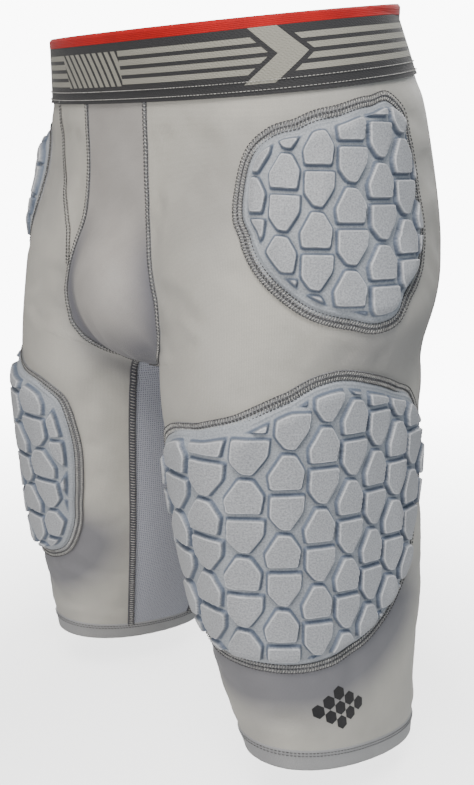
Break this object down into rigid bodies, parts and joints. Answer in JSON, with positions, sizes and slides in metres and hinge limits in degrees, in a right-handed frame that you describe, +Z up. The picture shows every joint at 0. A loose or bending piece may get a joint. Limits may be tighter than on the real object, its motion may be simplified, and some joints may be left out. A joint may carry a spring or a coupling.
{
  "type": "padded impact shorts",
  "caption": "Close-fitting stretch shorts with moulded honeycomb impact pads sewn over the hips, thighs and tailbone, an elastic waistband and a front pouch.",
  "frame": {"origin": "centre of the waist opening, on its tilted rim plane", "axes": "+Z up, the wearer faces -Y, the wearer's left is +X"},
  "size_m": [0.3622, 0.2475, 0.5163],
  "materials": {
    "band_knit": "matte",
    "body_knit": "satin",
    "hem_knit": "matte",
    "label_satin": "satin",
    "lining_knit": "matte",
    "mesh_knit": "matte",
    "pad_cover": "satin",
    "pad_foam": "matte",
    "print_ink": "matte",
    "red_knit": "matte",
    "tape": "matte",
    "thread": "matte"
  },
  "bodies": {
    "pelvis": {"care_label": "label_satin", "crotch_gusset": "mesh_knit", "fly_facing": "body_knit", "fly_stitching": "thread", "gusset_fold_left": "mesh_knit", "gusset_fold_right": "mesh_knit", "hip_fold_left": "body_knit", "hip_fold_right": "body_knit", "hip_pad_backing_left": "lining_knit", "hip_pad_backing_right": "lining_knit", "hip_pad_cover_left": "pad_cover", "hip_pad_cover_right": "pad_cover", "hip_pad_foam_left": "pad_foam", "hip_pad_foam_right": "pad_foam", "hip_pad_stitching_left": "thread", "hip_pad_stitching_right": "thread", "hip_panel_left": "body_knit", "hip_panel_right": "body_knit", "pouch_lining": "lining_knit", "pouch_outer": "body_knit", "pouch_stitching": "thread", "seat_panel": "body_knit", "seat_stitching": "thread", "tailbone_pad_backing": "lining_knit", "tailbone_pad_cover": "pad_cover", "tailbone_pad_foam": "pad_foam", "tailbone_pad_stitching": "thread", "waistband_elastic": "band_knit", "waistband_red_edge": "red_knit", "waistband_stitching": "thread"},
    "left_leg": {"hem_stitching_left": "thread", "inseam_stitching_left": "thread", "inseam_tape_back_left": "tape", "inseam_tape_front_left": "tape", "leg_gusset_left": "mesh_knit", "leg_hem_left": "hem_knit", "leg_panel_left": "body_knit", "leg_print_left": "print_ink", "thigh_pad_backing_left": "lining_knit", "thigh_pad_cover_left": "pad_cover", "thigh_pad_foam_left": "pad_foam", "thigh_pad_stitching_left": "thread"},
    "right_leg": {"hem_stitching_right": "thread", "inseam_stitching_right": "thread", "inseam_tape_back_right": "tape", "inseam_tape_front_right": "tape", "leg_gusset_right": "mesh_knit", "leg_hem_right": "hem_knit", "leg_panel_right": "body_knit", "thigh_pad_backing_right": "lining_knit", "thigh_pad_cover_right": "pad_cover", "thigh_pad_foam_right": "pad_foam", "thigh_pad_stitching_right": "thread"}
  },
  "joints": [
    {"name": "left_hip", "type": "hinge", "parent": "pelvis", "child": "left_leg", "pos_m": [0.089, -0.024, -0.13], "axis": [-1, 0, 0], "range_deg": [-10, 30], "deforming": ["hip_fold_left", "gusset_fold_left"]},
    {"name": "right_hip", "type": "hinge", "parent": "pelvis", "child": "right_leg", "pos_m": [-0.089, -0.024, -0.13], "axis": [-1, 0, 0], "range_deg": [-10, 30], "deforming": ["hip_fold_right", "gusset_fold_right"]}
  ]
}
